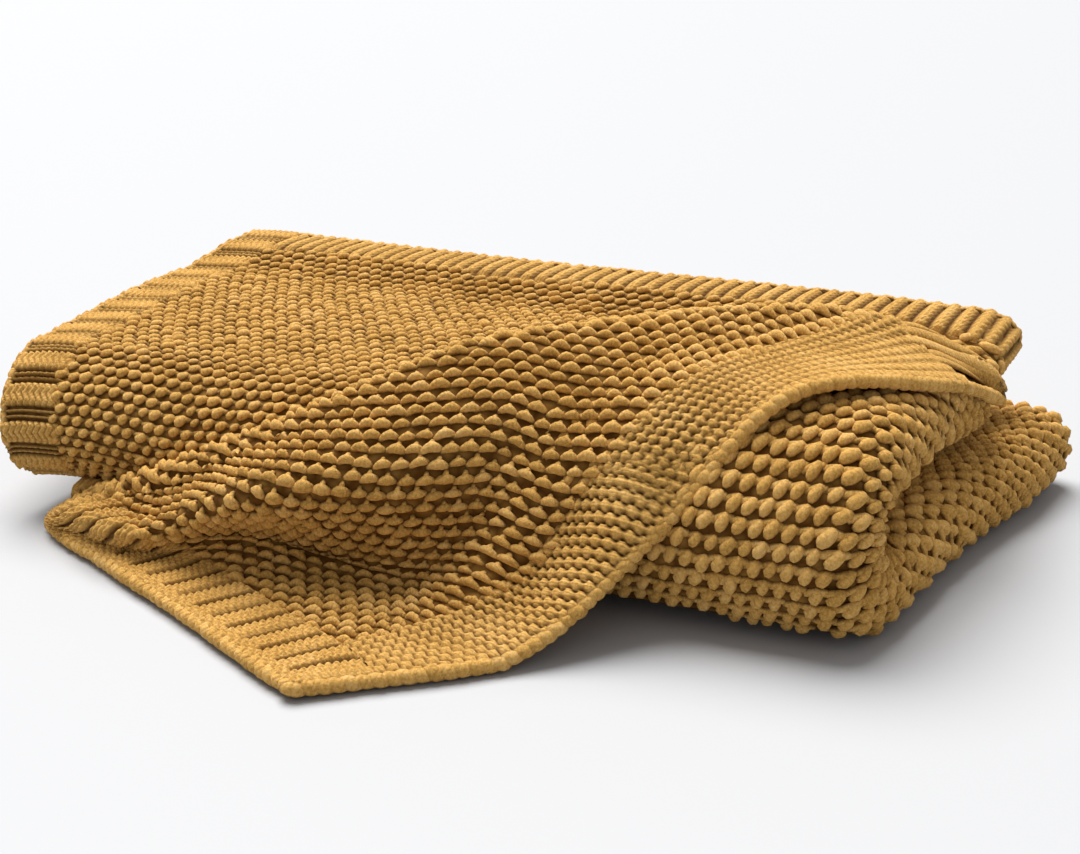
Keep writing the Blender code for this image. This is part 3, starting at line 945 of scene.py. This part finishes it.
def ground_group(top, low):
    """Node group: cloth with no raised stitches, as small bumps side by side, each painted darker
    towards its edge as painted shade between the bumps.
    """
    tree, outside = group_tree("Knit ground", {}, {"Color": "Color", "Normal": "Vector"})
    bumps = texture(tree, "Voronoi", {"Scale": 105, "Randomness": 0.6}).outputs["Distance"]
    tree.links.new(ramp(tree, bumps, (0.1, top), (0.65, low)), outside.inputs["Color"])
    raised = bump(tree, bumps, 0.9, 0.003, invert=True)
    tree.links.new(raised.outputs["Normal"], outside.inputs["Normal"])
    return tree


def matte(name, inputs):
    """A material, its node tree and its Principled shader, with values for the shader's inputs."""
    material = bpy.data.materials.new(name)
    material.use_nodes = True
    shader = material.node_tree.nodes["Principled BSDF"]
    for socket, value in inputs.items():
        shader.inputs[socket].default_value = value
    return material, material.node_tree, shader


def ground(name, yarn, top, low):
    """Matte wool with no raised stitches: top and low are its shares of the way from the painted shade
    colour to the dye's colour, at the middles of its bumps and at their edges.
    """
    material, tree, shader = matte(name, {"Roughness": 0.95, "Specular IOR Level": 0.1})
    ends = [[blend(pair, share) for pair in zip(yarn.painted_shade, yarn.base)] for share in (top, low)]
    group = node(tree, "ShaderNodeGroup", node_tree=ground_group(*ends))
    tree.links.new(group.outputs["Color"], shader.inputs["Base Color"])
    tree.links.new(group.outputs["Normal"], shader.inputs["Normal"])
    return material


def wool(name, yarn):
    """Matte plied wool, with the soft sheen of its fibres."""
    if name in bpy.data.materials:
        return bpy.data.materials[name]
    values = {"Roughness": 0.9, "Specular IOR Level": 0.12, "Sheen Weight": yarn.sheen}
    values |= {"Sheen Roughness": 0.5, "Sheen Tint": (0.90, 0.66, 0.38, 1)}
    material, tree, shader = matte(name, values)
    dye = yarn_colour_group(yarn.painted_shade, yarn.base, yarn.pale)
    colour = node(tree, "ShaderNodeGroup", node_tree=dye)
    # The depth attribute sets where the painted shade colour goes; shade is each piece's tone.
    for socket in ("Shade", "Depth"):
        attribute = node(tree, "ShaderNodeAttribute", attribute_name=socket.lower())
        tree.links.new(attribute.outputs["Fac"], colour.inputs[socket])
    tree.links.new(colour.outputs["Color"], shader.inputs["Base Color"])
    plies = node(tree, "ShaderNodeGroup", node_tree=yarn_relief_group())
    tree.links.new(plies.outputs["Normal"], shader.inputs["Normal"])
    return material


# The base cloth ------------------------------------------------------------------------------


def grid(surface, label, first, second):
    """Points and quads of a surface over two lists of samples, and each quad's label."""
    points = surface(first[:, None], second[None, :])
    middles = [(samples[:-1] + samples[1:]) / 2 for samples in (first, second)]
    return points.reshape(-1, 3), cells(points.shape[:2]), label(*places(*middles)).ravel()


def bare_sides(u, v):
    """Which side of the cloth has no raised stitches: 0 the reverse, 1 both, 2 the right side."""
    return np.where(u > U_RIM, 1, np.where(v < V_INNER, 0, 2))


def cloth_sheet():
    """The whole sheet's middle: points, quads and bare sides of three patches with shared edges."""
    stations = np.linspace(-1, 1, 105)
    flap = np.concatenate([span(-1, -LIP, 26), span(-LIP, 0, 8), np.linspace(0, 1, 19)])
    middle = len(stations) // 2  # the station of the cloth's corner
    a = 1 + stations[: middle + 1]
    b = 1 - stations[middle:][::-1]
    behind = outer_v(curve(b, FOLD["share"], FOLD["place"]))
    turn = [1 - c * (1 - V_INNER) for c in (0.61, 0.39)]  # of the inner half, round the front
    under = [span(behind[-1], V_OUTER, 16), span(V_OUTER, V_INNER, 8), span(V_INNER, turn[0], 14)]
    under += [span(*turn, 18), np.linspace(turn[1], 1, 21)]
    beyond = np.concatenate([span(U_TURNED, U_RIM, 6), np.linspace(U_RIM, 1, 25)])
    rest = np.concatenate(under)
    patches = (
        grid(turned, lambda _, t: np.where(t < 0, 2, 0), stations, flap),
        grid(stacked, bare_sides, a * U_TURNED, rest),
        grid(stacked, bare_sides, beyond, np.concatenate([behind[:-1], rest])),
    )
    return joined(patches)


def base_cloth(thickness, painted_shade_ground, plain):
    """The cloth that the stitches stand on: the whole folded sheet, as one thin solid.

    Its normals are those of the right side, which faces down in the lowest layer. A face has its
    bare_sides number as its slot on the right side, and the next slot on the reverse.
    """
    points, quads, bare = cloth_sheet()
    mesh = bpy.data.meshes.new("blanket_cloth")
    mesh.from_pydata((points - np.array([*CENTRE, 0])).tolist(), [], quads.tolist())
    mesh.polygons.foreach_set("material_index", bare.astype(np.int32))
    build = bmesh.new()
    build.from_mesh(mesh)
    bmesh.ops.remove_doubles(build, verts=build.verts, dist=1e-5)
    bmesh.ops.recalc_face_normals(build, faces=build.faces)
    if min(build.faces, key=lambda face: face.calc_center_median().z).normal.z > 0:
        bmesh.ops.reverse_faces(build, faces=build.faces)
    build.to_mesh(mesh)
    build.free()
    mesh.shade_smooth()
    for material in (painted_shade_ground, plain, plain, painted_shade_ground):
        mesh.materials.append(material)
    piece = linked("blanket_cloth", mesh)
    thicken = piece.modifiers.new("thickness", "SOLIDIFY")
    thicken.thickness = thickness
    thicken.offset = 0
    thicken.material_offset = 1
    thicken.use_even_offset = False
    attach(piece, RIDE)
    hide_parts("blanket")
    return piece


# Settings and steps --------------------------------------------------------------------------


class ThrowYarn(bpy.types.PropertyGroup):
    """The yarn."""

    base: FloatVectorProperty(
        name="Colour", description="Dyed wool's colour",
        default=(0.66, 0.362, 0.086), size=3, subtype="COLOR",
    )
    # Painted shade: this colour goes on low yarn and, mixed with the dye's colour, on the cloth between
    # the stitches, standing in for the shade there.
    painted_shade: FloatVectorProperty(
        name="Deep", description="Colour between the stitches",
        default=(0.110, 0.044, 0.007), size=3, subtype="COLOR",
    )
    pale: FloatVectorProperty(
        name="Pale", description="Colour of the palest fibres",
        default=(0.82, 0.515, 0.185), size=3, subtype="COLOR",
    )
    sheen: FloatProperty(
        name="Sheen", description="Strength of the fibres' soft sheen",
        default=0.10, min=0, max=1,
    )


class ThrowKnit(bpy.types.PropertyGroup):
    """The knitting's sizes."""

    stitch: FloatProperty(
        name="Stitch", description="From one stitch to the next along a row",
        default=0.0118, unit="LENGTH",
    )
    row: FloatProperty(
        name="Row", description="From one row to the next",
        default=0.0104, unit="LENGTH",
    )
    bias: FloatProperty(
        name="Bias", description="Lean of the turned corner's rows",
        default=math.radians(-64), subtype="ANGLE",
    )
    base: FloatProperty(
        name="Base", description="Thickness of the cloth between its stitches",
        default=0.0050, unit="LENGTH",
    )
    side_border: FloatProperty(
        name="Side border", description="Width of the rib borders at the ends",
        default=0.046, unit="LENGTH",
    )
    back_border: FloatProperty(
        name="Long border", description="Width of the rib borders along the sides",
        default=0.040, unit="LENGTH",
    )
    side_rib: FloatProperty(
        name="Side rib", description="From one rib of the end borders to the next",
        default=0.031, unit="LENGTH",
    )
    back_rib: FloatProperty(
        name="Long rib", description="From one rib of the long borders to the next",
        default=0.0120, unit="LENGTH",
    )
    edge_stitch: FloatProperty(
        name="Edge stitch", description="From one stitch of the edge to the next",
        default=0.0075, unit="LENGTH",
    )


class ThrowStudio(bpy.types.PropertyGroup):
    """The floor, the lights and the camera."""

    paper: FloatVectorProperty(
        name="Paper", description="Colour of the floor",
        default=(0.428, 0.428, 0.432), size=3, subtype="COLOR",
    )
    ambient: FloatProperty(
        name="Ambient", description="Strength of the light from all round", default=0.47
    )
    key: FloatProperty(name="Key", description="Strength of the main light, in W/m2", default=5.6)
    softness: FloatProperty(
        name="Softness", description="Angle that the main light spans",
        default=math.radians(50), subtype="ANGLE",
    )
    distance: FloatProperty(
        name="Distance", description="From the camera to the throw",
        default=1.2, unit="LENGTH",
    )
    azimuth: FloatProperty(
        name="Azimuth", description="Camera's turn from the front",
        default=math.radians(22), subtype="ANGLE",
    )
    elevation: FloatProperty(
        name="Elevation", description="Camera's angle above the floor",
        default=math.radians(20), subtype="ANGLE",
    )


class ThrowClothOperator(bpy.types.Operator):
    """Make the folded cloth that the stitches stand on"""

    bl_idname = "throw.cloth"
    bl_label = "Folded cloth"

    def execute(self, context):
        yarn = context.scene.throw_yarn
        # Painted shade: the cloth between the stitches is coloured near the painted shade colour, to
        # stand in for the shade there; plain faces bare of stitches are lighter.
        painted_shade_ground = ground("throw ground", yarn, 0.30, 0.0)
        plain = ground("throw plain", yarn, 0.90, 0.35)
        base_cloth(context.scene.throw_knit.base, painted_shade_ground, plain)
        return {"FINISHED"}


# What is knitted on a face: its stitch, the rows' lean, where they start at the left and the
# back, its pitches as shares of the knitting's own, and the stretch of its stitches.
Fabric = namedtuple("Fabric", "face loops lean left back stitch row stretch")


class ThrowStitchesOperator(bpy.types.Operator):
    """Knit the stitches of the faces that show"""

    bl_idname = "throw.stitches"
    bl_label = "Stitches"

    def execute(self, context):
        knit = context.scene.throw_knit
        material = wool("throw wool", context.scene.throw_yarn)
        rng = np.random.default_rng(7)
        points, quads, _ = cloth_sheet()
        tree = BVHTree.FromPolygons(points.tolist(), quads.tolist())
        side, back = knit.side_border, knit.back_border
        fabrics = (
            Fabric(TURNED, CAP_LOOPS, knit.bias, side - 0.004, back - 0.006, 0.91, 0.84, (0.84, 0.8, 1)),
            Fabric(INNER, TOOTH_LOOPS, 0, side - 0.005, back - 0.003, 0.87, 0.88, (0.87, 0.8, 0.78)),
            Fabric(OUTER, TOOTH_LOOPS, 0, 0.010, 0, 0.89, 1.03, (0.92, 0.95, 0.93)),
        )
        for face, loops, lean, left, back, stitch, row, stretch in fabrics:
            x, y = rows_of_stitches(face, lean, left, back, stitch * knit.stitch, row * knit.row, rng)
            here = on_face(face, x, y)
            x, y = open_places(face, x[here], y[here], tree)
            if not len(x):
                raise RuntimeError(f"no stitch of the {face.name} face shows")
            for number, half in enumerate(np.array_split(np.arange(len(x)), 2)):
                name = f"knit_{face.name}_{number}"
                stitch_piece(name, face, loops, lean, x[half], y[half], stretch, material, rng)
        return {"FINISHED"}


class ThrowBordersOperator(bpy.types.Operator):
    """Knit the rib borders of the top and of the turned corner"""

    bl_idname = "throw.borders"
    bl_label = "Rib borders"

    def execute(self, context):
        knit = context.scene.throw_knit
        material = wool("throw wool", context.scene.throw_yarn)
        side, back = knit.side_border + BORDER_LAP, knit.back_border + BORDER_LAP
        side_rows, back_rows = np.linspace(0, side, 46), np.linspace(0, back, 34)
        x, y = places(side_rows, np.linspace(0, WRAP * SIDE_END, 560))
        border_piece("knit_side_border", INNER, panel_ribs, x, y, knit, material)
        y, x = places(back_rows, np.linspace(knit.side_border, LONG_END, 560))
        border_piece("knit_long_border", INNER, slanted_ribs, x, y, knit, material)
        x, share = places(side_rows, np.linspace(0, PAST_FOLD[0], 400))
        y = share * CORNER_WIDTH * (1 - x / CORNER_LENGTH)
        border_piece("knit_corner_side_border", TURNED, grooved_ribs, x, y, knit, material)
        y, share = places(back_rows, np.linspace(0, PAST_FOLD[1], 620))
        x = blend((knit.side_border, CORNER_LENGTH * (1 - y / CORNER_WIDTH)), share)
        border_piece("knit_corner_long_border", TURNED, holed_ribs, x, y, knit, material)
        gathered_strands(8, material)
        return {"FINISHED"}


class ThrowEdgeOperator(bpy.types.Operator):
    """Knit the chain of edge stitches round the whole throw"""

    bl_idname = "throw.edge"
    bl_label = "Edge stitches"

    def execute(self, context):
        material = wool("throw wool", context.scene.throw_yarn)
        edge_chain(EDGES, context.scene.throw_knit.edge_stitch, material, np.random.default_rng(11))
        return {"FINISHED"}


FLOOR_HALF = 40  # half the floor's side
KEY_FROM = (-0.70, 0.75, 1.9)  # direction to the main light
LENS, SENSOR = 60, 36  # the camera's, in mm
AIM_HEIGHT = 0.05  # at which the camera looks


def facing_from(direction):
    """The rotation of a light or a camera that stands in this direction and faces the middle."""
    return Vector(direction).to_track_quat("Z", "Y").to_euler()


class ThrowStageOperator(bpy.types.Operator):
    """Set the floor, the lights and the camera"""

    bl_idname = "throw.stage"
    bl_label = "Stage"

    def execute(self, context):
        studio = context.scene.throw_studio
        mesh = bpy.data.meshes.new("floor")
        corners = [(-1, -1), (1, -1), (1, 1), (-1, 1)]
        mesh.from_pydata([(FLOOR_HALF * x, FLOOR_HALF * y, 0) for x, y in corners], [], [(0, 1, 2, 3)])
        paper, _, _ = matte("paper", {"Base Color": (*studio.paper, 1), "Roughness": 0.7})
        mesh.materials.append(paper)
        linked("floor", mesh)
        world = bpy.data.worlds.new("studio")
        world.use_nodes = True
        sky = world.node_tree.nodes["Background"]
        sky.inputs["Color"].default_value = (0.95, 0.97, 1.0, 1)
        sky.inputs["Strength"].default_value = studio.ambient
        context.scene.world = world
        context.scene.view_settings.view_transform = "Standard"
        light = bpy.data.lights.new("key light", "SUN")
        light.energy = studio.key
        light.angle = studio.softness
        linked("key light", light).rotation_euler = facing_from(KEY_FROM)
        lens = bpy.data.cameras.new("camera")
        lens.lens, lens.sensor_width, lens.sensor_fit = LENS, SENSOR, "HORIZONTAL"
        camera = linked("camera", lens)
        back = Vector((0, -math.cos(studio.elevation), math.sin(studio.elevation)))
        back.rotate(Euler((0, 0, studio.azimuth)))
        camera.location = Vector((-CENTRE[0], -CENTRE[1], AIM_HEIGHT)) + back * studio.distance
        camera.rotation_euler = facing_from(back)
        context.scene.camera = camera
        return {"FINISHED"}


class ThrowPanel(bpy.types.Panel):
    """The throw's sizes, colours and steps"""

    bl_idname = "VIEW3D_PT_throw"
    bl_label = "Folded knitted throw"
    bl_space_type = "VIEW_3D"
    bl_region_type = "UI"
    bl_category = "Throw"

    def draw(self, context):
        for group in (context.scene.throw_yarn, context.scene.throw_knit, context.scene.throw_studio):
            box = self.layout.box()
            for name in group.__annotations__:
                box.prop(group, name)
        for operator in OPERATORS:
            self.layout.operator(operator.bl_idname)


GROUPS = (("throw_yarn", ThrowYarn), ("throw_knit", ThrowKnit), ("throw_studio", ThrowStudio))
OPERATORS = (
    ThrowClothOperator,
    ThrowStitchesOperator,
    ThrowBordersOperator,
    ThrowEdgeOperator,
    ThrowStageOperator,
)


def register():
    """Add the settings, the steps and the panel."""
    for name, group in GROUPS:
        bpy.utils.register_class(group)
        setattr(bpy.types.Scene, name, PointerProperty(type=group))
    for cls in (*OPERATORS, ThrowPanel):
        bpy.utils.register_class(cls)


def unregister():
    """Take them away, the last one first."""
    for cls in (ThrowPanel, *reversed(OPERATORS)):
        bpy.utils.unregister_class(cls)
    for name, group in reversed(GROUPS):
        delattr(bpy.types.Scene, name)
        bpy.utils.unregister_class(group)


def main():
    """Take every step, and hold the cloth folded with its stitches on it."""
    register()
    for operator in OPERATORS:
        name = operator.bl_idname.split(".")[1]
        getattr(bpy.ops.throw, name)()


if __name__ == "__main__":
    main()
